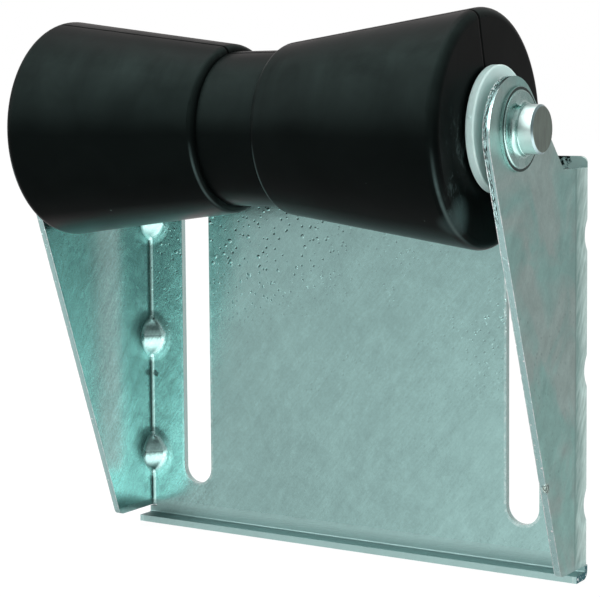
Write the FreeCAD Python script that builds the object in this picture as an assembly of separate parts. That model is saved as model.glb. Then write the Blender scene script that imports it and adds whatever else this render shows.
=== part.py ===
"""Keel roller on a folded sheet bracket, held by a plain shaft with a push-on retainer at each end.

Units are millimetres. The origin is the centre of the plate's back face, the face that is bolted on.
+X runs along the shaft to the right, +Y goes into the surface behind the plate and +Z is up.
"""

import FreeCAD
import Part
import math
import os

Vector = FreeCAD.Vector

# Bracket: one sheet with a back plate, an ear folded forward at each side and a lip along the bottom
sheet_thickness = 2.9
bracket_width = 227.2
plate_height = 177.4
bend_radius = 2.0

# Ears: a tapered cheek from a square foot up to a round tip about the shaft
ear_foot_reach = 29.4
ear_foot_rise = 6.7
ear_foot_corner = 3.5
ear_tip_radius = 21.8
ear_tip_lead = 3.1
ear_tip_drop = 1.5
ear_shoulder_reach = 28.0
ear_shoulder_drop = 4.6

# Lip along the bottom, parted from the ears by a slit at each corner
lip_reach = 11.3
lip_setback = 1.1
lip_bend_radius = 0.8
relief_height = 0.9

# Fixing slots
slot_width = 15.3
slot_spacing = 168.4
slot_margin = 19.8

# Darts pressed across both folds, which stiffen them
dart_count = 3
dart_spacing = 56.3
dart_leg = 7.6
dart_radius = 10.4
dart_root = 1.0
dart_blend = 3.0
dent_depth = 4.7
dent_radius = 11.9

# Shaft
shaft_diameter = 19.05
shaft_stick_out = 10.2
shaft_chamfer = 0.8
axis_reach = 70.9
axis_height = 101.2
running_clearance = 0.08

# Nylon thrust washer between the roller and each ear, and the play that it has beside the ear
washer_diameter = 49.4
washer_thickness = 3.6
washer_edge_bevel = 0.5
washer_gap = 0.3
end_play = 3.85

# Roller: two cones that meet at a narrower neck, moulded in one, with a low boss for the washer at each end
roller_end_diameter = 94.7
roller_edge_radius = 3.8
cone_tip_diameter = 70.1
cone_tip_radius = 3.0
neck_length = 27.0
neck_diameter = 64.4
boss_diameter = 42.0
boss_height = 0.6
boss_bevel = 0.3

# Push-on retainer on each end of the shaft
retainer_diameter = 32.9
retainer_wall = 0.55
retainer_rim_width = 1.4
retainer_rim_height = 1.1
retainer_face_height = 1.7
retainer_shoulder_round = 0.6
retainer_collar_height = 4.2
retainer_collar_fillet = 1.8
retainer_lip_bevel = 0.25
retainer_gap = 0.05
retainer_grip = 0.02
tooth_count = 2
tooth_angle = 42.0
tooth_slit_width = 7.0
tooth_slit_height = 1.9
tooth_slit_depth = 2.2

shaft_radius = shaft_diameter / 2
half_width = bracket_width / 2
plate_top = plate_height / 2
plate_bottom = -plate_height / 2
ear_bottom = plate_bottom + ear_foot_rise
axis_y = -axis_reach
washer_seat = half_width - sheet_thickness - end_play - washer_thickness
boss_face = washer_seat - washer_gap
roller_end = boss_face - boss_height


def rounded_wire(corners, to_point):
    """Closed wire through (u, v, radius) corners, each rounded by its radius; to_point places a (u, v)."""
    count = len(corners)
    joints = []
    for index in range(count):
        u, v, radius = corners[index]
        before = corners[index - 1]
        after = corners[(index + 1) % count]
        if radius <= 0:
            joints.append([(u, v)])
            continue
        back = math.hypot(before[0] - u, before[1] - v)
        ahead = math.hypot(after[0] - u, after[1] - v)
        back_way = ((before[0] - u) / back, (before[1] - v) / back)
        ahead_way = ((after[0] - u) / ahead, (after[1] - v) / ahead)
        half_turn = math.acos(back_way[0] * ahead_way[0] + back_way[1] * ahead_way[1]) / 2
        tangent = radius / math.tan(half_turn)
        middle = (back_way[0] + ahead_way[0], back_way[1] + ahead_way[1])
        stretch = math.hypot(*middle)
        to_arc = radius / math.sin(half_turn) - radius
        joints.append([
            (u + back_way[0] * tangent, v + back_way[1] * tangent),
            (u + middle[0] / stretch * to_arc, v + middle[1] / stretch * to_arc),
            (u + ahead_way[0] * tangent, v + ahead_way[1] * tangent),
        ])
    edges = []
    for index in range(count):
        joint = [to_point(*place) for place in joints[index]]
        following = to_point(*joints[(index + 1) % count][0])
        if len(joint) == 3:
            edges.append(Part.Arc(*joint).toShape())
        if joint[-1].distanceToPoint(following) > 1e-6:
            edges.append(Part.LineSegment(joint[-1], following).toShape())
    return Part.Wire(edges)


def extruded(corners, to_point, way):
    return Part.Face(rounded_wire(corners, to_point)).extrude(way)


def turned(corners, centre_y=axis_y, centre_z=axis_height):
    """Solid of revolution about the shaft axis from (x, radius, corner radius) corners."""
    wire = rounded_wire(corners, lambda x, radius: Vector(x, centre_y, centre_z + radius))
    return Part.Face(wire).revolve(Vector(0, centre_y, centre_z), Vector(1, 0, 0), 360)


def shaft_rod(radius, start, end):
    return Part.makeCylinder(radius, end - start, Vector(start, axis_y, axis_height), Vector(1, 0, 0))


def mirrored(shape):
    return shape.mirror(Vector(0, 0, 0), Vector(1, 0, 0))


def cleaned(shape):
    """One solid with the seams that joining leaves between flush faces taken out."""
    whole = shape.removeSplitter()
    return whole.Solids[0] if len(whole.Solids) == 1 else whole


def meet(start, start_angle, end, end_angle):
    """Where the line from start at start_angle crosses the line from end at end_angle."""
    ux, uy = math.cos(start_angle), math.sin(start_angle)
    wx, wy = math.cos(end_angle), math.sin(end_angle)
    along = ((end[0] - start[0]) * wy - (end[1] - start[1]) * wx) / (ux * wy - uy * wx)
    return start[0] + ux * along, start[1] + uy * along


def tangent_angle(point, centre, radius, side):
    """Direction of the line from point that just touches the circle, on its left (+1) or right (-1)."""
    across = centre[0] - point[0]
    up = centre[1] - point[1]
    return math.atan2(up, across) + side * math.asin(radius / math.hypot(across, up))


def folded_sheet():
    """Plate and ears: a U section as tall as the ears, trimmed to the side outline of plate and ear."""
    front = axis_y - ear_tip_lead - 2 * ear_tip_radius
    outer = bend_radius + sheet_thickness
    inner_x = half_width - sheet_thickness
    section = [
        (-half_width, front, 0), (-half_width, 0, outer), (half_width, 0, outer), (half_width, front, 0),
        (inner_x, front, 0), (inner_x, -sheet_thickness, bend_radius),
        (-inner_x, -sheet_thickness, bend_radius), (-inner_x, front, 0),
    ]
    tall = axis_height + 2 * ear_tip_radius - ear_bottom
    channel = extruded(section, lambda x, y: Vector(x, y, ear_bottom), Vector(0, 0, tall))

    foot = (-ear_foot_reach, ear_bottom)
    shoulder = (-ear_shoulder_reach, plate_top - ear_shoulder_drop)
    tip_centre = (axis_y - ear_tip_lead, axis_height - ear_tip_drop)
    front_angle = tangent_angle(foot, tip_centre, ear_tip_radius, 1)
    rear_angle = tangent_angle(shoulder, tip_centre, ear_tip_radius, -1)
    peak = meet(foot, front_angle, shoulder, rear_angle)
    outline = [
        (0, ear_bottom, 0), (0, plate_top, 0), (-sheet_thickness, plate_top, 0),
        (-sheet_thickness, shoulder[1], 0), (*shoulder, 0), (*peak, ear_tip_radius), (*foot, ear_foot_corner),
    ]
    side = extruded(outline, lambda y, z: Vector(-half_width, y, z), Vector(bracket_width, 0, 0))
    sheet = channel.common(side)
    return sheet.cut(top_corner()).cut(mirrored(top_corner()))


def top_corner():
    """Waste outside the round corner where the plate's top edge drops to the ear's rear edge."""
    radius = ear_shoulder_drop
    depth = sheet_thickness + bend_radius
    block = Part.makeBox(radius, depth, radius, Vector(half_width - radius, -depth, plate_top - radius))
    round_bar = Part.makeCylinder(
        radius, depth, Vector(half_width - radius, -depth, plate_top - radius), Vector(0, 1, 0))
    return block.cut(round_bar)


def bottom_lip():
    """Foot of the plate and the lip, an L section as long as the sheet is between its trimmed ends."""
    half_length = half_width - lip_setback
    outer = lip_bend_radius + sheet_thickness
    lip_top = plate_bottom + sheet_thickness
    section = [
        (0, ear_bottom, 0), (0, plate_bottom, outer), (-lip_reach, plate_bottom, 0), (-lip_reach, lip_top, 0),
        (-sheet_thickness, lip_top, lip_bend_radius), (-sheet_thickness, ear_bottom, 0),
    ]
    lip = extruded(section, lambda y, z: Vector(-half_length, y, z), Vector(2 * half_length, 0, 0))
    slit_start = half_width - sheet_thickness - bend_radius
    slit = Part.makeBox(
        half_width - slit_start, 3 * sheet_thickness, relief_height,
        Vector(slit_start, -2 * sheet_thickness, ear_bottom - relief_height))
    return lip.cut(slit).cut(mirrored(slit))


def slot(centre_x):
    """Fixing slot with round ends, cut through the plate."""
    low = plate_bottom + slot_margin
    high = plate_top - slot_margin
    radius = slot_width / 2
    corners = [
        (centre_x - radius, low, radius), (centre_x + radius, low, radius),
        (centre_x + radius, high, radius), (centre_x - radius, high, radius),
    ]
    start = -2 * sheet_thickness
    return extruded(corners, lambda x, z: Vector(x, start, z), Vector(0, 3 * sheet_thickness, 0))


def dart_rib(height):
    """Rib of one dart on the right fold: the part of a round bar across the corner that shows inside it."""
    corner = Vector(half_width - sheet_thickness, -sheet_thickness, height)
    outward = Vector(1, 1, 0).normalize()
    across = Vector(1, -1, 0).normalize()
    to_crest = dart_leg / math.sqrt(2)
    reach = to_crest + dart_radius
    start = corner + outward * (dart_radius - to_crest) - across * reach
    bar = Part.makeCylinder(dart_radius, 2 * reach, start, across)
    inside = Part.makeBox(
        reach, reach, 2 * dart_radius, corner + Vector(dart_root - reach, dart_root - reach, -dart_radius))
    return bar.common(inside)


def dart_dent(height):
    """Hollow that the punch leaves on the outside of the right fold."""
    corner = Vector(half_width, 0, height)
    outward = Vector(1, 1, 0).normalize()
    across = Vector(1, -1, 0).normalize()
    reach = 2 * dent_depth
    start = corner + outward * (dent_radius - dent_depth) - across * reach
    return Part.makeCylinder(dent_radius, 2 * reach, start, across)


def rib_foot(bracket):
    """Edges where the round faces of the ribs run into the sheet."""
    return [edge for face in bracket.Faces
            if isinstance(face.Surface, Part.Cylinder) and abs(face.Surface.Radius - dart_radius) < 1e-6
            for edge in face.Edges]


def make_bracket():
    heights = [(step - (dart_count - 1) / 2) * dart_spacing for step in range(dart_count)]
    ribs = [dart_rib(height) for height in heights]
    dents = [dart_dent(height) for height in heights]
    bracket = folded_sheet().fuse(bottom_lip())
    bracket = bracket.fuse(ribs + [mirrored(rib) for rib in ribs]).removeSplitter()
    bracket = bracket.makeFillet(dart_blend, rib_foot(bracket))
    bracket = bracket.cut(dents + [mirrored(dent) for dent in dents])
    bracket = bracket.cut([slot(-slot_spacing / 2), slot(slot_spacing / 2)])
    bore = shaft_rod(shaft_radius + running_clearance, -half_width - 1, half_width + 1)
    return cleaned(bracket.cut(bore))


def make_roller():
    """Spool turned from the section above its bore."""
    rim = roller_end_diameter / 2
    tip = cone_tip_diameter / 2
    neck = neck_diameter / 2
    boss = boss_diameter / 2
    bore = shaft_radius + running_clearance
    half_neck = neck_length / 2
    right = [
        (half_neck, neck, 0), (half_neck, tip, cone_tip_radius), (roller_end, rim, roller_edge_radius),
        (roller_end, boss, 0), (boss_face - boss_bevel, boss, 0), (boss_face, boss - boss_bevel, 0),
        (boss_face, bore, 0),
    ]
    left = [(-x, radius, corner) for x, radius, corner in reversed(right)]
    return turned(right + left)


def make_shaft():
    end = half_width + shaft_stick_out
    rod = shaft_rod(shaft_radius, -end, end)
    rims = [edge for edge in rod.Edges if abs(abs(edge.CenterOfMass.x) - end) < 1e-6]
    return rod.makeChamfer(shaft_chamfer, rims)


def make_washer():
    start = washer_seat
    end = washer_seat + washer_thickness
    outer = washer_diameter / 2
    face = outer - washer_edge_bevel
    inner = shaft_radius + running_clearance
    return turned([
        (start, inner, 0), (start, face, 0), (start + washer_edge_bevel, outer, 0),
        (end - washer_edge_bevel, outer, 0), (end, face, 0), (end, inner, 0),
    ])


def make_retainer():
    """Stamped cap on the right end: a rim on the ear, a raised face and a collar with two tooth slits."""
    seat = half_width + retainer_gap
    outer = retainer_diameter / 2
    shoulder = outer - retainer_rim_width
    bore = shaft_radius + retainer_grip
    collar = bore + retainer_wall
    rim_top = seat + retainer_rim_height
    face = seat + retainer_face_height
    top = seat + retainer_collar_height
    hollow = face - retainer_wall
    cap = turned([
        (seat, shoulder - retainer_wall, 0), (seat, outer, 0), (rim_top, outer, 0), (rim_top, shoulder, 0),
        (face, shoulder, retainer_shoulder_round), (face, collar, retainer_collar_fillet),
        (top - retainer_lip_bevel, collar, 0), (top, collar - retainer_lip_bevel, 0), (top, bore, 0),
        (hollow, bore, 0), (hollow, shoulder - retainer_wall, 0),
    ])
    for step in range(tooth_count):
        slit = Part.makeBox(
            tooth_slit_height, bore / 2 + tooth_slit_depth, tooth_slit_width,
            Vector(face, axis_y - bore - tooth_slit_depth, axis_height - tooth_slit_width / 2))
        slit.rotate(
            Vector(0, axis_y, axis_height), Vector(1, 0, 0), -tooth_angle - step * 360 / tooth_count)
        cap = cap.cut(slit)
    return cleaned(cap)


def main():
    os.makedirs("parts", exist_ok=True)
    washer = make_washer()
    retainer = make_retainer()
    pieces = {
        "bracket": make_bracket(),
        "shaft": make_shaft(),
        "roller": make_roller(),
        "right_washer": washer,
        "left_washer": mirrored(washer),
        "right_retainer": retainer,
        "left_retainer": mirrored(retainer),
    }
    for name, shape in pieces.items():
        if not shape.isValid():
            raise ValueError(name + " is not a valid shape")
        shape.exportStep("parts/" + name + ".step")
        print(name, len(shape.Solids), round(shape.Volume, 1))


main()
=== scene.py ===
import math

import bmesh
import bpy
from mathutils import Matrix, Vector


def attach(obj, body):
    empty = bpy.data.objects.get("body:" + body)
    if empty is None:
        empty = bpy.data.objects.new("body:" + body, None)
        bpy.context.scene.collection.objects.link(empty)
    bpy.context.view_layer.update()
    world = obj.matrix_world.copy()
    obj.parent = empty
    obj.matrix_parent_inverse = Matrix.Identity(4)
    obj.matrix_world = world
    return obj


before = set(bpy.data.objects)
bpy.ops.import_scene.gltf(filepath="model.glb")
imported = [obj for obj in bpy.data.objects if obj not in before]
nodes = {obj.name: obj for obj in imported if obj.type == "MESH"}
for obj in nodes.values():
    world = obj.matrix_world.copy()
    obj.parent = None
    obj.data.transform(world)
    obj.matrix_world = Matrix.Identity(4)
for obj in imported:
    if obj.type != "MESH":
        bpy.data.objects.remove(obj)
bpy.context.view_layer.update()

# Bracket: one blank of galvanised steel sheet, folded into a plate with two ears and a lip, and pressed with
# three darts across each fold. The zinc is satin, clouded and brushed, with small pits and dross pimples. Its
# cut edges are rough, with burrs and painted glints, the right fold has a painted highlight with painted
# shade at its crease, and one top corner has white rust. Painted shade darkens the folds, the lip's top and
# the right ear's outer face, which is painted lighter low down; the left ear's inner face is painted lighter
# low down, and darker high up and beside its fold.
MM = 0.001
plate_colour = (0.315, 0.54, 0.52)
ear_shade_colour = (0.255, 0.465, 0.435)
warm_ear_colour = (0.33, 0.445, 0.425)
ear_low_light_colour = (0.29, 0.54, 0.50)
pit_and_shade_colour = (0.06, 0.10, 0.095)
fold_shade_colour = (0.09, 0.19, 0.175)
band_shade_colour = (0.26, 0.45, 0.42)
band_highlight_colour = (0.66, 0.90, 0.86)
lip_colour = (0.30, 0.44, 0.43)
lip_top_shade_colour = (0.17, 0.25, 0.25)
sheared_end_colour = (0.04, 0.15, 0.17)
glint_colour = (0.9, 1.0, 1.0)
slot_wall_colour = (0.42, 0.58, 0.56)
chip_colour = (0.50, 0.66, 0.60)
burr_colour = (0.52, 0.72, 0.70)
white_rust_colour = (0.30, 0.44, 0.42)
ear_upper_z = 30.0 * MM
ear_lower_z = -50.0 * MM
ear_light_z = -70.0 * MM
ear_dark_z = 45.0 * MM
fold_shade_start_y = -32.0 * MM
fold_shade_full_y = -16.0 * MM
band_edge_y = -15.8 * MM
band_end_y = -4.5 * MM
band_start_x = 108.0 * MM
coarse_start_x = -72.0 * MM
coarse_full_x = -80.0 * MM
coarse_gain = 2.5
bare_edge_colour = (0.44, 0.70, 0.69)
edge_back_y = -8.0 * MM
ear_tip_start_z = 62.0 * MM
ear_tip_full_z = 72.0 * MM
ear_inner_x = 110.7 * MM
outer_x = 113.6 * MM
sheet_thickness = 2.9 * MM
dart_spacing = 56.3 * MM
dart_reach = 8.0 * MM
draw_width = 5.0 * MM
lip_start_z = -78.5 * MM
lip_full_z = -81.5 * MM
sheared_start_z = -82.5 * MM
sheared_full_z = -83.5 * MM
slot_place_x = 84.2 * MM
slot_half_width = 7.7 * MM
slot_end_z = 61.25 * MM
rust_start_z = 79.0 * MM
rust_full_z = 81.0 * MM
rust_middle_x = 106.5 * MM
rust_half_width = 6.9 * MM
rust_front_y = -9.0 * MM
nick_place = (113.6 * MM, -43.6 * MM, -42.6 * MM)
smudge_place = (-108.3 * MM, -2.9 * MM, -18.0 * MM)
scratch_slope = (0.62, 0.78)
scratch_stretch = 0.10


def new_material(name):
    """Material with an empty node tree, its Principled shader wired to the output."""
    material = bpy.data.materials.new(name)
    material.use_nodes = True
    tree = material.node_tree
    tree.nodes.clear()
    shader = tree.nodes.new("ShaderNodeBsdfPrincipled")
    output = tree.nodes.new("ShaderNodeOutputMaterial")
    tree.links.new(shader.outputs["BSDF"], output.inputs["Surface"])
    return material, tree, shader


def put(tree, kind, inputs=None, **settings):
    """New node with its properties set, and each named input given a value or linked to a socket."""
    node = tree.nodes.new(kind)
    for key, value in settings.items():
        setattr(node, key, value)
    for name, value in (inputs or {}).items():
        if isinstance(value, bpy.types.NodeSocket):
            tree.links.new(value, node.inputs[name])
        else:
            node.inputs[name].default_value = value
    return node


def maths(tree, operation, first, second=0.0, third=0.0):
    node = put(tree, "ShaderNodeMath", {0: first, 1: second, 2: third}, operation=operation)
    return node.outputs[0]


def times(tree, first, *others):
    """Product of all the values."""
    for other in others:
        first = maths(tree, "MULTIPLY", first, other)
    return first


def absolute(tree, value):
    return maths(tree, "ABSOLUTE", value)


def length(tree, vector):
    return put(tree, "ShaderNodeVectorMath", {0: vector}, operation="LENGTH").outputs["Value"]


def distance(tree, place, point):
    node = put(tree, "ShaderNodeVectorMath", {0: place, 1: point}, operation="DISTANCE")
    return node.outputs["Value"]


def remap(tree, value, low, high, to_low=0.0, to_high=1.0):
    """Value carried from low..high to to_low..to_high, held at both ends."""
    node = put(tree, "ShaderNodeMapRange", {
        "Value": value, "From Min": low, "From Max": high, "To Min": to_low, "To Max": to_high})
    return node.outputs["Result"]


def sway(tree, pattern, low, high):
    """Noise, which lies mostly between 0.3 and 0.7, carried to low..high."""
    return remap(tree, pattern, 0.3, 0.7, low, high)


def grey(tree, tone):
    """Colour with the tone in all three channels."""
    node = put(tree, "ShaderNodeCombineColor", {"Red": tone, "Green": tone, "Blue": tone})
    return node.outputs["Color"]


def blend_colour(tree, factor, first, second, blend_type="MIX"):
    """First colour turned into the second by the factor."""
    node = put(tree, "ShaderNodeMix", data_type="RGBA", blend_type=blend_type)
    for socket, value in ((node.inputs[0], factor), (node.inputs[6], first), (node.inputs[7], second)):
        if isinstance(value, bpy.types.NodeSocket):
            tree.links.new(value, socket)
        else:
            socket.default_value = value if isinstance(value, float) else (*value, 1.0)
    return node.outputs[2]


def object_place(tree, turn=(0.0, 0.0, 0.0), stretch=(1.0, 1.0, 1.0)):
    """Object coordinates, turned in degrees and then stretched."""
    coordinates = put(tree, "ShaderNodeTexCoord")
    turned = put(tree, "ShaderNodeMapping", {
        "Vector": coordinates.outputs["Object"],
        "Rotation": tuple(math.radians(angle) for angle in turn)})
    stretched = put(tree, "ShaderNodeMapping", {"Vector": turned.outputs["Vector"], "Scale": stretch})
    return stretched.outputs["Vector"]


def noise(tree, vector, scale, detail=2.0, roughness=0.5, distortion=0.0):
    node = put(tree, "ShaderNodeTexNoise", {
        "Vector": vector, "Scale": scale, "Detail": detail, "Roughness": roughness, "Distortion": distortion})
    return node.outputs["Fac"]


def new_group(name, inputs, outputs):
    """Node group with float inputs given as (name, default) and the named float outputs."""
    group = bpy.data.node_groups.new(name, "ShaderNodeTree")
    group.interface.new_socket("Vector", in_out="INPUT", socket_type="NodeSocketVector")
    for label, default in inputs:
        socket = group.interface.new_socket(label, in_out="INPUT", socket_type="NodeSocketFloat")
        socket.default_value = default
    for label in outputs:
        group.interface.new_socket(label, in_out="OUTPUT", socket_type="NodeSocketFloat")
    return group, group.nodes.new("NodeGroupInput"), group.nodes.new("NodeGroupOutput")


def use_group(tree, group, vector, **values):
    """Group placed in a material; underscores in the keywords stand for spaces in the socket names."""
    node = tree.nodes.new("ShaderNodeGroup")
    node.node_tree = group
    tree.links.new(vector, node.inputs["Vector"])
    for label, value in values.items():
        node.inputs[label.replace("_", " ")].default_value = value
    return node


def speckle_group():
    """Scattered round specks: a mask of them, and their height for a bump."""
    group, entry, leave = new_group(
        "scattered specks", [("Density", 200.0), ("Share", 0.3), ("Size", 0.2)], ["Mask", "Height"])
    cells = put(group, "ShaderNodeTexVoronoi", {
        "Vector": entry.outputs["Vector"], "Scale": entry.outputs["Density"], "Randomness": 1.0})
    chance = put(group, "ShaderNodeSeparateColor", {"Color": cells.outputs["Color"]})
    chosen = maths(group, "LESS_THAN", chance.outputs["Red"], entry.outputs["Share"])
    size = maths(group, "MULTIPLY", chance.outputs["Green"], entry.outputs["Size"])
    inside = maths(group, "DIVIDE", cells.outputs["Distance"], maths(group, "ADD", size, 0.02))
    dome = remap(group, inside, 0.5, 1.0, 1.0, 0.0)
    mask = maths(group, "MULTIPLY", dome, chosen)
    group.links.new(mask, leave.inputs["Mask"])
    group.links.new(mask, leave.inputs["Height"])
    return group


def streak_group():
    """Fine streaks along the stretched axis of the coordinates, in two widths, about 0.5 on average."""
    group, entry, leave = new_group("fine streaks", [("Scale", 300.0)], ["Tone"])
    fine = put(group, "ShaderNodeTexNoise", {
        "Vector": entry.outputs["Vector"], "Scale": entry.outputs["Scale"], "Detail": 3.0, "Roughness": 0.6})
    broad = put(group, "ShaderNodeTexNoise", {
        "Vector": entry.outputs["Vector"], "Detail": 1.0,
        "Scale": maths(group, "MULTIPLY", entry.outputs["Scale"], 0.2)})
    broad_share = maths(group, "MULTIPLY", broad.outputs["Fac"], 0.4)
    tone = maths(group, "MULTIPLY_ADD", fine.outputs["Fac"], 0.6, broad_share)
    group.links.new(tone, leave.inputs["Tone"])
    return group


specks = speckle_group()
streaks = streak_group()


def galvanised_sheet():
    material, tree, shader = new_material("galvanised_sheet")
    place = object_place(tree)
    x, y, z = put(tree, "ShaderNodeSeparateXYZ", {"Vector": place}).outputs
    facing = put(tree, "ShaderNodeTexCoord").outputs["Normal"]
    face_x, face_y, face_z = put(tree, "ShaderNodeSeparateXYZ", {"Vector": facing}).outputs

    cloud = noise(tree, place, 28.0, 4.0, 0.55, 0.8)
    bloom = noise(tree, place, 90.0, 3.0, 0.6, 1.5)
    level = maths(tree, "ADD", x, y)
    along = maths(tree, "MULTIPLY_ADD", level, scratch_slope[0], times(tree, z, scratch_slope[1]))
    across = maths(tree, "MULTIPLY_ADD", level, -scratch_slope[1], times(tree, z, scratch_slope[0]))
    scratch_place = put(tree, "ShaderNodeCombineXYZ", {
        "X": across, "Y": times(tree, along, scratch_stretch)}).outputs[0]
    brushed = use_group(tree, streaks, scratch_place, Scale=1100.0).outputs["Tone"]
    grain = noise(tree, place, 900.0, 2.0, 0.6)
    coarse = remap(tree, x, coarse_start_x, coarse_full_x, 1.0, coarse_gain)
    tone = maths(tree, "ADD", sway(tree, cloud, -0.045, 0.045), sway(tree, bloom, -0.03, 0.03))
    fine = maths(tree, "ADD", sway(tree, brushed, -0.065, 0.065), sway(tree, grain, -0.045, 0.045))
    tone = maths(tree, "MULTIPLY_ADD", fine, coarse, tone)
    swirl = noise(tree, object_place(tree, (20.0, 0.0, 0.0), (1.0, 1.0, 0.5)), 55.0, 4.0, 0.6, 2.5)
    tone = maths(tree, "ADD", tone, sway(tree, swirl, 0.95, 1.05))

    # Outer face of the right ear: painted shade, lighter towards the bottom as painted light, with random
    # warm patches.
    outside = times(tree, remap(tree, x, ear_inner_x + sheet_thickness / 2, ear_inner_x + sheet_thickness),
                    remap(tree, face_x, 0.5, 0.9))
    lower = remap(tree, z, ear_upper_z, ear_lower_z)
    ear_colour = blend_colour(tree, lower, ear_shade_colour, ear_low_light_colour)
    mottle = remap(tree, noise(tree, place, 70.0, 5.0, 0.62, 0.6), 0.3, 0.7, 0.88, 1.12)
    mottle = grey(tree, mottle)
    ear_colour = blend_colour(tree, remap(tree, cloud, 0.42, 0.58, 0.0, 0.85), ear_colour, warm_ear_colour)
    ear_colour = blend_colour(tree, 1.0, ear_colour, mottle, "MULTIPLY")
    colour = blend_colour(tree, outside, plate_colour, ear_colour)
    shade = grey(tree, tone)
    colour = blend_colour(tree, 1.0, colour, shade, "MULTIPLY")

    pits = use_group(tree, specks, place, Density=470.0, Share=0.42, Size=0.40)
    dross_place = object_place(tree, (20.0, 10.0, 30.0))
    dross = use_group(tree, specks, dross_place, Density=430.0, Share=0.34, Size=0.45)
    upper_left = times(tree, remap(tree, z, 5 * MM, 40 * MM), remap(tree, x, 20 * MM, -40 * MM))
    patchy = remap(tree, noise(tree, place, 22.0, 2.0), 0.45, 0.65)
    upper = remap(tree, z, -25 * MM, 25 * MM, 0.15, 0.6)
    where = maths(tree, "MAXIMUM", upper_left, times(tree, patchy, upper))
    flat = maths(tree, "GREATER_THAN", absolute(tree, face_y), 0.8)
    where = maths(tree, "MAXIMUM", times(tree, where, flat),
                  times(tree, outside, patchy, 0.35))
    pit_mask = times(tree, pits.outputs["Mask"], where)
    dross_mask = times(tree, dross.outputs["Mask"], where)
    colour = blend_colour(tree, times(tree, pit_mask, 0.8), colour, pit_and_shade_colour)

    beyond = maths(tree, "GREATER_THAN", absolute(tree, x), ear_inner_x)
    sideways = maths(tree, "LESS_THAN", absolute(tree, face_x), 0.5)
    ahead = maths(tree, "LESS_THAN", y, edge_back_y)
    edge = times(tree, beyond, sideways, ahead)
    near_tip = remap(tree, z, ear_tip_start_z, ear_tip_full_z)
    # White specks on the cut edges of the ears: painted glints.
    edge_glints = use_group(tree, specks, place, Density=700.0, Share=0.12, Size=0.4).outputs["Mask"]
    ragged = noise(tree, object_place(tree, stretch=(3.0, 1.0, 1.0)), 420.0, 3.0, 0.7)
    ragged = remap(tree, ragged, 0.60, 0.42)
    inner_half = remap(tree, absolute(tree, x), ear_inner_x + 1.7 * MM, ear_inner_x + 1.3 * MM)
    torn = times(tree, ragged, inner_half, remap(tree, near_tip, 0.0, 1.0, 0.10, 0.95))
    bare = blend_colour(tree, torn, bare_edge_colour, pit_and_shade_colour)
    bare = blend_colour(tree, edge_glints, bare, glint_colour)
    middle_x = outer_x - sheet_thickness / 2
    off_middle = absolute(tree, maths(tree, "SUBTRACT", absolute(tree, x), middle_x))
    # Arrises of the cut edges: burr, with painted glints along it.
    burr_and_glints = times(tree, remap(tree, off_middle, 1.05 * MM, 1.25 * MM),
                 remap(tree, noise(tree, place, 380.0, 2.0), 0.40, 0.60, 0.25, 0.95))
    bare = blend_colour(tree, burr_and_glints, bare, glint_colour)
    colour = blend_colour(tree, edge, colour, bare)

    # Dark stripe in each fold between the darts: painted shade.
    bend = times(tree, remap(tree, absolute(tree, face_x), 0.25, 0.55),
                 remap(tree, absolute(tree, face_x), 0.995, 0.93))
    inside = times(tree, maths(tree, "COMPARE", x, -ear_inner_x / 2, ear_inner_x / 2),
                   maths(tree, "LESS_THAN", absolute(tree, face_z), 0.1))
    from_dart_middle = maths(tree, "PINGPONG", z, dart_spacing / 2)
    fold_line_shade = times(tree, bend, inside,
                      remap(tree, from_dart_middle, dart_reach - 2 * MM, dart_reach, 0.0, 0.75))
    colour = blend_colour(tree, fold_line_shade, colour, fold_shade_colour)

    # Inner face of the left ear: painted shade darkens it beside its fold, and painted light makes it lighter
    # low down and darker high up.
    inner_ear = times(tree, remap(tree, face_x, 0.9, 0.98), maths(tree, "LESS_THAN", x, 0.0))
    stretched = times(tree, inner_ear, remap(tree, y, fold_shade_start_y, fold_shade_full_y, 0.0, 0.30))
    colour = blend_colour(tree, stretched, colour, pit_and_shade_colour)
    painted_ear_light = remap(tree, z, ear_light_z, ear_dark_z, 1.17, 0.78)
    painted_ear_light = grey(tree, painted_ear_light)
    colour = blend_colour(tree, inner_ear, colour, blend_colour(tree, 1.0, colour, painted_ear_light, "MULTIPLY"))

    from_fold = absolute(tree, maths(tree, "SUBTRACT", y, band_edge_y))
    rubbed = noise(tree, object_place(tree, (25.0, 0.0, 0.0), (1.0, 1.0, 0.2)), 380.0, 3.0, 0.65)
    # Outside of the right fold: painted highlight, with painted shade towards the crease, its edge varied by
    # noise.
    right_flank = times(tree, remap(tree, face_x, 0.1, 0.3), maths(tree, "GREATER_THAN", x, band_start_x))
    band = times(tree, right_flank, remap(tree, y, band_edge_y, band_edge_y + 1.2 * MM))
    band_highlight_share = maths(tree, "ADD", remap(tree, y, band_edge_y, band_end_y), sway(tree, rubbed, -0.4, 0.4))
    band_highlight_share = maths(tree, "MINIMUM", maths(tree, "MAXIMUM", band_highlight_share, 0.0), 1.0)
    band_colour = blend_colour(tree, band_highlight_share, band_shade_colour, band_highlight_colour)
    colour = blend_colour(tree, band, colour, band_colour)
    # Dark line along the crease of the right fold: painted shade.
    crease_shade = times(tree, outside, remap(tree, from_fold, 0.2 * MM, 0.9 * MM, 0.35, 0.0))
    colour = blend_colour(tree, crease_shade, colour, fold_shade_colour)
    lip = remap(tree, z, lip_start_z, lip_full_z)
    colour = blend_colour(tree, times(tree, lip, 0.7), colour, lip_colour)
    # Top of the lip: painted shade.
    lip_top_shade = times(tree, lip, remap(tree, face_z, 0.3, 0.8))
    colour = blend_colour(tree, times(tree, lip_top_shade, 0.8), colour, lip_top_shade_colour)
    sheared = times(tree, lip, remap(tree, absolute(tree, face_x), 0.3, 0.7),
                    remap(tree, z, sheared_start_z, sheared_full_z))
    chipped = noise(tree, place, 900.0, 3.0, 0.7)
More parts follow.
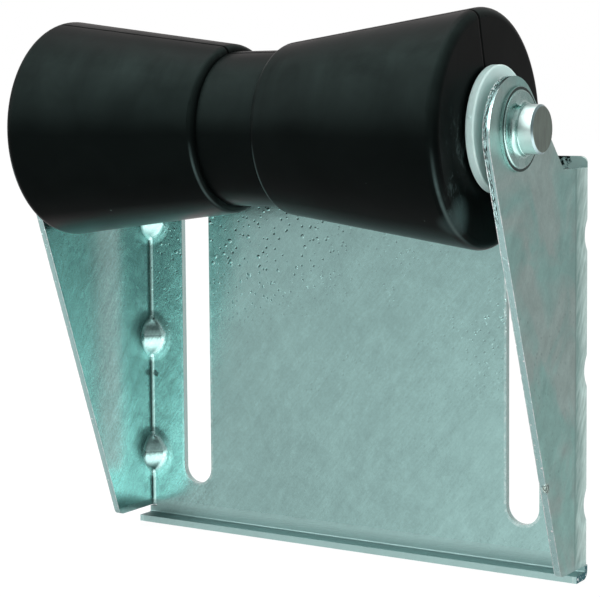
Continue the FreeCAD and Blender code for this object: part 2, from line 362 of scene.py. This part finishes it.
    # Cut ends of the lip: bare steel with painted glints.
    lip_edge_glints = remap(tree, chipped, 0.56, 0.66)
    sheared_colour = blend_colour(tree, lip_edge_glints, sheared_end_colour, glint_colour)
    colour = blend_colour(tree, sheared, colour, sheared_colour)

    from_slot = absolute(tree, maths(tree, "SUBTRACT", absolute(tree, x), slot_place_x))
    past_end = maths(tree, "MAXIMUM", maths(tree, "SUBTRACT", absolute(tree, z), slot_end_z), 0.0)
    to_slot = put(tree, "ShaderNodeCombineXYZ", {"X": from_slot, "Y": past_end}).outputs[0]
    to_slot = length(tree, to_slot)
    beside_slot = remap(tree, to_slot, slot_half_width + 0.6 * MM, slot_half_width + 0.3 * MM)
    slot_wall = times(tree, beside_slot, remap(tree, absolute(tree, face_y), 0.7, 0.4))
    colour = blend_colour(tree, slot_wall, colour, slot_wall_colour)
    slot_burr = times(tree, remap(tree, to_slot, slot_half_width + 1.3 * MM, slot_half_width + 0.9 * MM),
                      remap(tree, noise(tree, place, 520.0, 2.0, 0.6), 0.42, 0.62, 0.15, 0.9))
    colour = blend_colour(tree, times(tree, slot_burr, flat), colour, burr_colour)
    corner = times(tree, remap(tree, z, rust_start_z, rust_full_z),
                   maths(tree, "COMPARE", x, rust_middle_x, rust_half_width),
                   maths(tree, "LESS_THAN", face_x, 0.3), maths(tree, "GREATER_THAN", y, rust_front_y))
    blotches = maths(tree, "ADD", remap(tree, x, 104 * MM, 107.5 * MM, -0.08, 0.35),
                     noise(tree, place, 420.0, 3.0, 0.6))
    white_rust = times(tree, corner, remap(tree, blotches, 0.46, 0.58))
    colour = blend_colour(tree, white_rust, colour, white_rust_colour)

    off_nick = distance(tree, place, nick_place)
    nick = remap(tree, off_nick, 2.6 * MM, 1.6 * MM)
    chipped = remap(tree, chipped, 0.42, 0.60)
    colour = blend_colour(tree, nick, colour, blend_colour(tree, chipped, pit_and_shade_colour, chip_colour))
    off_smudge = distance(tree, place, smudge_place)
    off_smudge = maths(tree, "MULTIPLY_ADD", noise(tree, place, 500.0, 2.0), 2.4 * MM, off_smudge)
    colour = blend_colour(tree, remap(tree, off_smudge, 2.9 * MM, 2.4 * MM, 0.0, 0.85), colour, pit_and_shade_colour)

    from_corner = put(tree, "ShaderNodeCombineXYZ", {
        "X": maths(tree, "SUBTRACT", absolute(tree, x), ear_inner_x),
        "Y": maths(tree, "ADD", y, sheet_thickness),
        "Z": from_dart_middle}).outputs[0]
    from_dart = length(tree, from_corner)
    drawn = put(tree, "ShaderNodeMapRange", {
        "Value": from_dart, "From Min": dart_reach, "From Max": dart_reach + draw_width,
        "To Min": 1.0, "To Max": 0.0}, interpolation_type="SMOOTHERSTEP").outputs["Result"]

    height = maths(tree, "SUBTRACT", dross_mask, pit_mask)
    height = maths(tree, "MULTIPLY_ADD", drawn, 2.5, height)
    height = maths(tree, "MULTIPLY_ADD", times(tree, torn, edge), -1.0, height)
    height = maths(tree, "MULTIPLY_ADD", times(tree, nick, chipped), 2.0, height)
    height = maths(tree, "MULTIPLY_ADD", grain, 0.05, height)
    height = maths(tree, "MULTIPLY_ADD", brushed, 0.12, height)
    height = maths(tree, "MULTIPLY_ADD", cloud, 1.5, height)
    bump = put(tree, "ShaderNodeBump", {"Height": height, "Strength": 0.55, "Distance": 0.25 * MM})

    dull = maths(tree, "MAXIMUM", white_rust, times(tree, slot_wall, 0.5))
    tree.links.new(remap(tree, dull, 0.0, 1.0, 1.0, 0.15), shader.inputs["Metallic"])
    tree.links.new(colour, shader.inputs["Base Color"])
    polish = sway(tree, bloom, 0.17, 0.25)
    polish = maths(tree, "MULTIPLY_ADD", outside, 0.24, maths(tree, "MULTIPLY_ADD", lip, 0.34, polish))
    round_dart = remap(tree, times(tree, bend, maths(tree, "SUBTRACT", 1.0, inside)), 0.0, 1.0, 0.0, 0.16)
    tree.links.new(maths(tree, "ADD", polish, round_dart), shader.inputs["Roughness"])
    tree.links.new(bump.outputs["Normal"], shader.inputs["Normal"])
    return material


def dress(label, material):
    """Gives a CAD node its one material."""
    nodes[label].data.materials.clear()
    nodes[label].data.materials.append(material)


dress("bracket", galvanised_sheet())

# Roller: a black rubber spool, moulded in one over its bore, with the mould's thin parting line along its top
# and bottom, painted dark as shade. Dust has settled on its upper side, which is also painted lighter as
# sheen;
# its underside and lower rims are rubbed, and the lower rims carry a painted highlight. Its right end has
# scuffs and a pale patch of painted sheen beside the washer.
rubber_colour = (0.0016, 0.0023, 0.0022)
dust_and_sheen_colour = (0.0125, 0.0192, 0.0178)
dust_colour = (0.10, 0.13, 0.12)
rubbed_colour = (0.034, 0.054, 0.052)
painted_sheen_colour = (0.050, 0.085, 0.083)
sheen_patch_place = (102.35 * MM, -98.0 * MM, 69.0 * MM)
sheen_patch_radius = 9.0 * MM
parting_shade_colour = (0.001, 0.001, 0.001)
sheen_tint = (0.62, 1.0, 0.95)
rubber_specular = 0.032
axis_y = -70.9 * MM
axis_z = 101.2 * MM
parting_tilt = 14.0
roller_end_x = 102.35 * MM
scuff_back_y = -92.0 * MM
scuff_front_y = -110.0 * MM
scuff_top_z = 112.0 * MM
scuff_low_z = 100.0 * MM


def roller_rubber():
    material, tree, shader = new_material("roller_rubber")
    place = object_place(tree)
    x, y, z = put(tree, "ShaderNodeSeparateXYZ", {"Vector": place}).outputs
    blotch = noise(tree, place, 35.0, 4.0, 0.6, 0.6)
    smear = noise(tree, object_place(tree, (35.0, 0.0, 25.0), (1.0, 1.0, 0.45)), 42.0, 5.0, 0.62, 0.9)
    skin = noise(tree, place, 1400.0, 2.0, 0.6)
    drag = use_group(tree, streaks, object_place(tree, stretch=(0.15, 1.0, 1.0)), Scale=260.0).outputs["Tone"]
    tone = maths(tree, "ADD", sway(tree, blotch, 0.75, 1.25), sway(tree, drag, -0.08, 0.08))
    shade = grey(tree, tone)
    facing = put(tree, "ShaderNodeTexCoord").outputs["Normal"]
    face_x, face_y, face_z = put(tree, "ShaderNodeSeparateXYZ", {"Vector": facing}).outputs
    # Upper side: settled dust and painted sheen, fading towards the very top.
    dust_and_sheen = times(tree, remap(tree, face_z, -0.05, 0.62), remap(tree, smear, 0.32, 0.68, 0.45, 1.0))
    dust_and_sheen = times(tree, dust_and_sheen, remap(tree, face_z, 0.72, 0.95, 1.0, 0.15))
    colour = blend_colour(tree, dust_and_sheen, rubber_colour, dust_and_sheen_colour)
    colour = blend_colour(tree, 1.0, colour, shade, "MULTIPLY")

    across_y = math.cos(math.radians(parting_tilt))
    across_z = math.sin(math.radians(parting_tilt))
    off_line = maths(tree, "ADD", times(tree, maths(tree, "SUBTRACT", y, axis_y), across_y),
                     times(tree, maths(tree, "SUBTRACT", z, axis_z), across_z))
    wander = times(tree, maths(tree, "SUBTRACT", noise(tree, place, 60.0, 2.0), 0.5), 0.8 * MM)
    off_line = absolute(tree, maths(tree, "ADD", off_line, wander))
    # Parting line: a groove by bump, painted dark as shade in it.
    line = remap(tree, off_line, 0.35 * MM, 1.0 * MM, 1.0, 0.0)
    colour = blend_colour(tree, line, colour, parting_shade_colour)

    dust = use_group(tree, specks, place, Density=190.0, Share=0.05, Size=0.10).outputs["Mask"]
    colour = blend_colour(tree, times(tree, dust, 0.7), colour, dust_colour)
    height = maths(tree, "MULTIPLY_ADD", line, -2.0, times(tree, skin, 0.12))
    height = maths(tree, "MULTIPLY_ADD", blotch, 1.2, height)
    height = maths(tree, "MULTIPLY_ADD", dust, 0.6, height)
    bump = put(tree, "ShaderNodeBump", {"Height": height, "Strength": 0.5, "Distance": 0.2 * MM})
    polished = times(tree, remap(tree, face_z, -0.78, -0.96, 0.0, 0.50), maths(tree, "SUBTRACT", 1.0, line))
    tilt = absolute(tree, face_x)
    rim = times(tree, remap(tree, tilt, 0.28, 0.46), remap(tree, tilt, 0.72, 0.54),
                remap(tree, face_z, -0.10, -0.40), remap(tree, face_z, -0.85, -0.65))
    polished = maths(tree, "MAXIMUM", polished, times(tree, rim, 0.15))
    # Lower rims: painted highlight, varied by the smear noise.
    rim_highlight = times(tree, rim, sway(tree, smear, 0.3, 0.9))
    colour = blend_colour(tree, rim_highlight, colour, painted_sheen_colour)
    end_face = times(tree, remap(tree, face_x, 0.6, 0.9), remap(tree, y, scuff_back_y, scuff_back_y - 5 * MM),
                     remap(tree, y, scuff_front_y, scuff_front_y + 6 * MM),
                     maths(tree, "GREATER_THAN", x, roller_end_x - 8 * MM))
    rubbed = noise(tree, object_place(tree, stretch=(1.0, 1.0, 0.6)), 230.0, 4.0, 0.7, 0.8)
    rubbed = times(tree, end_face, remap(tree, rubbed, 0.54, 0.66), remap(tree, z, scuff_top_z, scuff_low_z))
    colour = blend_colour(tree, rubbed, colour, rubbed_colour)
    # Pale patch on the right end beside the washer: painted sheen.
    off_patch = distance(tree, place, sheen_patch_place)
    sheen_patch = remap(tree, off_patch, sheen_patch_radius, 2 * MM, 0.0, 0.8)
    sheen_patch = times(tree, sheen_patch, remap(tree, smear, 0.25, 0.60, 0.5, 1.0))
    colour = blend_colour(tree, sheen_patch, colour, painted_sheen_colour)
    tree.links.new(colour, shader.inputs["Base Color"])
    tree.links.new(polished, shader.inputs["Coat Weight"])
    skin_gloss = sway(tree, smear, 0.31, 0.40)
    tree.links.new(maths(tree, "MULTIPLY_ADD", line, 0.4, skin_gloss), shader.inputs["Roughness"])
    tree.links.new(bump.outputs["Normal"], shader.inputs["Normal"])
    shader.inputs["Specular IOR Level"].default_value = rubber_specular
    shader.inputs["Specular Tint"].default_value = (*sheen_tint, 1.0)
    shader.inputs["Coat Roughness"].default_value = 0.35
    return material


dress("roller", roller_rubber())

# Thrust washers: turned or moulded rings of natural white nylon, one between each end of the roller and its
# ear. The nylon is smooth, a little cloudy inside, and keeps the small nib of its moulding gate on the rim.
nylon_colour = (0.68, 0.90, 0.87)
gate_size = 1.3 * MM
washer_radius = 24.7 * MM
washer_middle_x = 105.05 * MM
gate_angle = 168.0


def washer_nylon():
    material, tree, shader = new_material("washer_nylon")
    place = object_place(tree)
    cloudy = noise(tree, place, 120.0, 3.0, 0.5)
    tone = sway(tree, cloudy, 0.95, 1.04)
    shade = grey(tree, tone)
    colour = blend_colour(tree, 1.0, nylon_colour, shade, "MULTIPLY")
    bump = put(tree, "ShaderNodeBump", {
        "Height": noise(tree, place, 700.0, 2.0), "Strength": 0.15, "Distance": 0.1 * MM})
    tree.links.new(colour, shader.inputs["Base Color"])
    tree.links.new(sway(tree, cloudy, 0.34, 0.42), shader.inputs["Roughness"])
    tree.links.new(bump.outputs["Normal"], shader.inputs["Normal"])
    shader.inputs["Subsurface Weight"].default_value = 0.25
    shader.inputs["Subsurface Radius"].default_value = (1.0, 1.2, 1.2)
    shader.inputs["Subsurface Scale"].default_value = 1.5 * MM
    return material


def finished_piece(name, mesh, material, body):
    """Object made from a bmesh at its place, riding on a body of the part."""
    data = bpy.data.meshes.new(name)
    bmesh.ops.recalc_face_normals(mesh, faces=mesh.faces)
    mesh.to_mesh(data)
    mesh.free()
    data.materials.append(material)
    piece = bpy.data.objects.new(name, data)
    bpy.context.scene.collection.objects.link(piece)
    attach(piece, body)


def gate_nib(side):
    """Snapped-off stub of the gate: a short tapered peg that stands on the washer's rim."""
    mesh = bmesh.new()
    bmesh.ops.create_cone(
        mesh, cap_ends=True, segments=16, radius1=gate_size / 2, radius2=gate_size / 3, depth=gate_size)
    rims = [edge for edge in mesh.edges if len(edge.link_faces) == 2 and edge.calc_face_angle() > 1.0]
    bmesh.ops.bevel(
        mesh, geom=rims, offset=gate_size / 10, segments=2, profile=0.5, affect="EDGES", material=-1)
    angle = math.radians(gate_angle)
    outward = Matrix.Rotation(angle, 4, "X") @ Matrix.Rotation(math.radians(90), 4, "X")
    middle = Vector((side * washer_middle_x, axis_y + math.cos(angle) * washer_radius,
                     axis_z + math.sin(angle) * washer_radius))
    bmesh.ops.transform(mesh, matrix=Matrix.Translation(middle) @ outward, verts=mesh.verts)
    return mesh


nylon = washer_nylon()
for side, label in ((1, "right"), (-1, "left")):
    dress(label + "_washer", nylon)
    finished_piece(label + "_gate_nib", gate_nib(side), nylon, label + "_washer")

# Shaft: plain round bar, cut off and chamfered at both ends, bright with zinc plating over fine turned marks.
# Its sawn ends are duller and greyer, and its chamfers darker.
bar_colour = (0.57, 0.72, 0.70)
bar_mark_colour = (0.36, 0.47, 0.46)
bar_end_colour = (0.195, 0.26, 0.225)
saw_mark_colour = (0.15, 0.195, 0.175)
chamfer_colour = (0.20, 0.31, 0.33)
shaft_end_x = 123.8 * MM


def plated_bar():
    material, tree, shader = new_material("plated_bar")
    place = object_place(tree)
    x = put(tree, "ShaderNodeSeparateXYZ", {"Vector": place}).outputs["X"]
    rings_place = object_place(tree, stretch=(1.0, 0.05, 0.05))
    rings = use_group(tree, streaks, rings_place, Scale=900.0).outputs["Tone"]
    end = remap(tree, absolute(tree, x), shaft_end_x - 0.15 * MM, shaft_end_x - 0.05 * MM)
    sawn = noise(tree, object_place(tree, stretch=(1.0, 1.0, 0.2)), 700.0, 3.0, 0.6)
    colour = blend_colour(tree, sway(tree, rings, 0.0, 0.25), bar_colour, bar_mark_colour)
    facing = put(tree, "ShaderNodeTexCoord").outputs["Normal"]
    tilt = absolute(tree, put(tree, "ShaderNodeSeparateXYZ", {"Vector": facing}).outputs["X"])
    chamfer = times(tree, remap(tree, tilt, 0.2, 0.4), remap(tree, tilt, 0.97, 0.90))
    colour = blend_colour(tree, times(tree, chamfer, 0.85), colour, chamfer_colour)
    end_tone = blend_colour(tree, remap(tree, sawn, 0.3, 0.7), bar_end_colour, saw_mark_colour)
    colour = blend_colour(tree, end, colour, end_tone)
    height = maths(tree, "MULTIPLY_ADD", rings, 0.5, times(tree, sawn, end))
    bump = put(tree, "ShaderNodeBump", {"Height": height, "Strength": 0.3, "Distance": 0.1 * MM})
    shader.inputs["Metallic"].default_value = 1.0
    tree.links.new(colour, shader.inputs["Base Color"])
    tree.links.new(remap(tree, end, 0.0, 1.0, 0.36, 0.5), shader.inputs["Roughness"])
    tree.links.new(bump.outputs["Normal"], shader.inputs["Normal"])
    return material


dress("shaft", plated_bar())

# Retainers: round caps stamped from thin spring steel and plated, pushed over each end of the shaft, whose
# sprung teeth bite into it. The stamping is smooth, with faint scuffs where the tool seated it, and the ledge
# of its rim is painted dark as shade.
cap_colour = (0.27, 0.46, 0.43)
worn_cap_colour = (0.35, 0.52, 0.50)
ledge_shade_colour = (0.02, 0.05, 0.045)
groove_inside = 15.1 * MM
groove_outside = 16.15 * MM


def spring_cap():
    material, tree, shader = new_material("spring_cap")
    place = object_place(tree)
    scuff = noise(tree, place, 160.0, 4.0, 0.6, 0.8)
    colour = blend_colour(tree, remap(tree, scuff, 0.35, 0.7), cap_colour, worn_cap_colour)
    x, y, z = put(tree, "ShaderNodeSeparateXYZ", {"Vector": place}).outputs
    off_axis = put(tree, "ShaderNodeCombineXYZ", {
        "Y": maths(tree, "SUBTRACT", y, axis_y), "Z": maths(tree, "SUBTRACT", z, axis_z)}).outputs[0]
    radius = length(tree, off_axis)
    # Ledge of the rim: painted shade.
    ledge_shade = times(tree, remap(tree, radius, groove_inside, groove_inside + 0.1 * MM),
                   remap(tree, radius, groove_outside + 0.1 * MM, groove_outside))
    colour = blend_colour(tree, ledge_shade, colour, ledge_shade_colour)
    bump = put(tree, "ShaderNodeBump", {"Height": scuff, "Strength": 0.25, "Distance": 0.3 * MM})
    shader.inputs["Metallic"].default_value = 1.0
    tree.links.new(colour, shader.inputs["Base Color"])
    tree.links.new(sway(tree, scuff, 0.2, 0.34), shader.inputs["Roughness"])
    tree.links.new(bump.outputs["Normal"], shader.inputs["Normal"])
    return material


cap = spring_cap()
for label in ("left", "right"):
    dress(label + "_retainer", cap)

# Studio: a plain white floor and surround. The camera sees both as white, while metal mirrors a studio with
# darker and lighter sides all round it, and the soft boxes overhead and in front give the light.
floor_z = -88.9 * MM
floor_half_size = 6.0
floor_glow = 0.93
room_light = (0.85, 0.86, 0.86)
studio_tint = (1.08, 1.0, 1.0)
front_left_tone = 0.68
front_right_tone = 0.60
floor_pool_tone = 3.1
near_floor_left_tone = 0.45
near_floor_right_tone = 2.2
right_side_tone = 0.12
high_side_tone = 0.5
back_tone = 0.80
flag_tone = 0.45
flag_way = 0.36
camera_place = (416.892 * MM, -721.344 * MM, 116.199 * MM)
camera_turn = 33.526
camera_tip = 4.475
camera_roll = -0.606
camera_lens = 111.798
camera_shift_x = 0.1008
camera_shift_y = -0.1


def seen_as_backdrop(tree):
    """1 for rays from the camera, and for those that metal and glass mirror or pass on."""
    path = put(tree, "ShaderNodeLightPath").outputs
    return path["Is Camera Ray"], maths(tree, "MAXIMUM", path["Is Glossy Ray"], path["Is Transmission Ray"])


def surround_tone(tree):
    """Tone that metal mirrors each way: floor lit at the front right, right side dark, dark flag behind."""
    way = put(tree, "ShaderNodeTexCoord").outputs["Generated"]
    x, y, z = put(tree, "ShaderNodeSeparateXYZ", {"Vector": way}).outputs
    level = length(tree, put(tree, "ShaderNodeCombineXYZ", {"X": x, "Y": y}).outputs[0])
    across = maths(tree, "DIVIDE", x, level)
    right = remap(tree, z, -0.22, -0.09, floor_pool_tone, front_right_tone)
    front = remap(tree, across, -0.52, 0.3, front_left_tone, right)
    off_flag = absolute(tree, maths(tree, "SUBTRACT", across, flag_way))
    back = remap(tree, off_flag, 0.12, 0.22, flag_tone, back_tone)
    tone = remap(tree, y, -0.3, 0.3, front, back)
    side = remap(tree, z, -0.42, -0.28, floor_pool_tone, right_side_tone)
    side = remap(tree, z, 0.15, 0.40, side, high_side_tone)
    tone = remap(tree, across, 0.72, 0.86, tone, side)
    near_floor = remap(tree, x, -0.25, 0.15, near_floor_left_tone, near_floor_right_tone)
    return remap(tree, z, -0.66, -0.80, tone, near_floor)


def studio_world():
    world = bpy.data.worlds.new("studio")
    world.use_nodes = True
    tree = world.node_tree
    tree.nodes.clear()
    camera, mirrored = seen_as_backdrop(tree)
    tone = surround_tone(tree)
    shade = grey(tree, tone)
    colour = blend_colour(tree, mirrored, room_light, blend_colour(tree, 1.0, studio_tint, shade, "MULTIPLY"))
    colour = blend_colour(tree, camera, colour, (1.0, 1.0, 1.0))
    background = put(tree, "ShaderNodeBackground", {"Color": colour, "Strength": 1.0})
    output = put(tree, "ShaderNodeOutputWorld")
    tree.links.new(background.outputs["Background"], output.inputs["Surface"])
    bpy.context.scene.world = world


def floor_paint():
    material = bpy.data.materials.new("floor_paint")
    material.use_nodes = True
    tree = material.node_tree
    tree.nodes.clear()
    camera, mirrored = seen_as_backdrop(tree)
    matt = put(tree, "ShaderNodeBsdfDiffuse", {"Color": (0.8, 0.8, 0.8, 1.0)})
    clear = put(tree, "ShaderNodeBsdfTransparent")
    dull = put(tree, "ShaderNodeMixShader", {0: mirrored})
    tree.links.new(matt.outputs[0], dull.inputs[1])
    tree.links.new(clear.outputs[0], dull.inputs[2])
    glow = put(tree, "ShaderNodeEmission", {"Color": (1.0, 1.0, 1.0, 1.0), "Strength": floor_glow})
    faint = put(tree, "ShaderNodeBsdfDiffuse", {"Color": (0.1, 0.1, 0.1, 1.0)})
    seen = put(tree, "ShaderNodeAddShader")
    tree.links.new(glow.outputs[0], seen.inputs[0])
    tree.links.new(faint.outputs[0], seen.inputs[1])
    choice = put(tree, "ShaderNodeMixShader", {0: camera})
    tree.links.new(dull.outputs[0], choice.inputs[1])
    tree.links.new(seen.outputs[0], choice.inputs[2])
    output = put(tree, "ShaderNodeOutputMaterial")
    tree.links.new(choice.outputs[0], output.inputs["Surface"])
    return material


def soft_box(name, place, target, width, height, power):
    lamp = bpy.data.lights.new(name, "AREA")
    lamp.shape = "RECTANGLE"
    lamp.size = width
    lamp.size_y = height
    lamp.energy = power
    holder = bpy.data.objects.new(name, lamp)
    holder.location = place
    holder.rotation_euler = (Vector(target) - Vector(place)).to_track_quat("-Z", "Y").to_euler()
    bpy.context.scene.collection.objects.link(holder)


studio_world()
floor_mesh = bmesh.new()
bmesh.ops.create_grid(floor_mesh, x_segments=1, y_segments=1, size=floor_half_size)
bmesh.ops.translate(floor_mesh, vec=(0.0, 0.0, floor_z), verts=floor_mesh.verts)
floor_data = bpy.data.meshes.new("floor")
floor_mesh.to_mesh(floor_data)
floor_mesh.free()
floor_data.materials.append(floor_paint())
floor = bpy.data.objects.new("floor", floor_data)
bpy.context.scene.collection.objects.link(floor)

middle = (0.0, -0.05, 0.05)
soft_box("overhead", (-0.15, -0.1, 1.3), middle, width=1.2, height=0.9, power=8.0)
soft_box("front_left", (-0.95, -1.25, 1.15), middle, width=1.5, height=1.8, power=27.0)

camera = bpy.data.cameras.new("camera")
camera.sensor_width = 36.0
camera.lens = camera_lens
camera.shift_x = camera_shift_x
camera.shift_y = camera_shift_y
stand = bpy.data.objects.new("camera", camera)
stand.matrix_world = (
    Matrix.Translation(camera_place) @ Matrix.Rotation(math.radians(camera_turn), 4, "Z")
    @ Matrix.Rotation(math.radians(90 - camera_tip), 4, "X")
    @ Matrix.Rotation(math.radians(camera_roll), 4, "Z"))
bpy.context.scene.collection.objects.link(stand)
bpy.context.scene.camera = stand
bpy.context.scene.view_settings.view_transform = "Standard"
